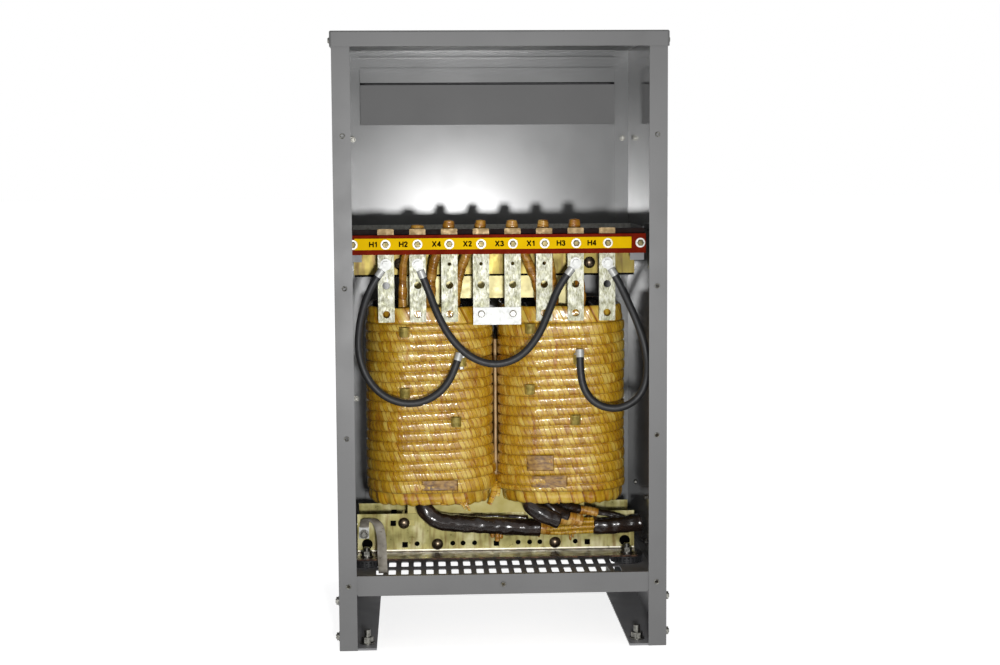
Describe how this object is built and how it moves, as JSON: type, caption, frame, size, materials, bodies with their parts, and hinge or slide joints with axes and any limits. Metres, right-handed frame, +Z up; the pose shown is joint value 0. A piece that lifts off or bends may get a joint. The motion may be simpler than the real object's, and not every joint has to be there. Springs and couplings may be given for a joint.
{
  "type": "power transformer",
  "caption": "Ventilated dry-type power transformer in a floor-standing sheet-steel cabinet, front cover off, with taped coils, a terminal board and jumper cables.",
  "frame": {"origin": "on the floor under the middle of the cabinet", "axes": "+X to the right seen from the open front, +Y to the rear, +Z up"},
  "size_m": [0.618, 0.576, 1.129],
  "materials": {
    "cabinet_paint": "grey powder-coated sheet steel, finely textured",
    "dark_paint": "dark grey paint on formed steel",
    "zinc_steel": "zinc-plated fasteners",
    "core_steel": "varnished core laminations",
    "yellow_zinc_steel": "yellow passivated zinc on steel",
    "black_rubber": "black moulded rubber",
    "varnished_tape": "amber varnished glass tape over copper winding",
    "barrier_board": "cream insulation board",
    "brass": "dull brass",
    "red_board": "red-brown glass-polyester board",
    "yellow_label": "yellow marker strip",
    "tinned_bar": "mottled tin plating",
    "cable_black": "charcoal cable jacket, satin",
    "varnished_sleeve": "glossy black-brown varnished sleeving"
  },
  "bodies": {
    "root": {"post_front_left": "cabinet_paint", "post_front_right": "cabinet_paint", "post_rear_left": "cabinet_paint", "post_rear_right": "cabinet_paint", "lid": "cabinet_paint", "side_panel_left": "cabinet_paint", "side_panel_right": "cabinet_paint", "back_panel": "cabinet_paint", "rear_baffles": "cabinet_paint", "top_rails": "cabinet_paint", "sills": "cabinet_paint", "floor_panel": "cabinet_paint", "skid_left": "dark_paint", "skid_right": "dark_paint", "hold_down_bolts": "zinc_steel", "side_bolts": "zinc_steel", "core_legs": "core_steel", "core_yoke_lower": "core_steel", "core_yoke_upper": "core_steel", "lower_clamps": "yellow_zinc_steel", "upper_clamps": "yellow_zinc_steel", "clamp_bolts": "zinc_steel", "isolator_pads": "black_rubber", "isolator_studs": "zinc_steel", "coil_left": "varnished_tape", "coil_right": "varnished_tape", "coil_barrier": "barrier_board", "tap_terminals": "brass", "terminal_board": "red_board", "terminal_board_back": "red_board", "terminal_label": "yellow_label", "terminal_bars": "tinned_bar", "board_bolts": "zinc_steel", "link_plate": "tinned_bar", "link_bolts": "zinc_steel", "board_arms": "dark_paint", "board_cross_bar": "dark_paint", "cable_lugs": "tinned_bar", "jumper_left": "cable_black", "jumper_middle": "cable_black", "jumper_right": "cable_black", "taped_leads": "varnished_tape", "lower_leads": "varnished_sleeve", "lead_splice": "varnished_sleeve", "ground_strap": "tinned_bar"}
  },
  "joints": []
}
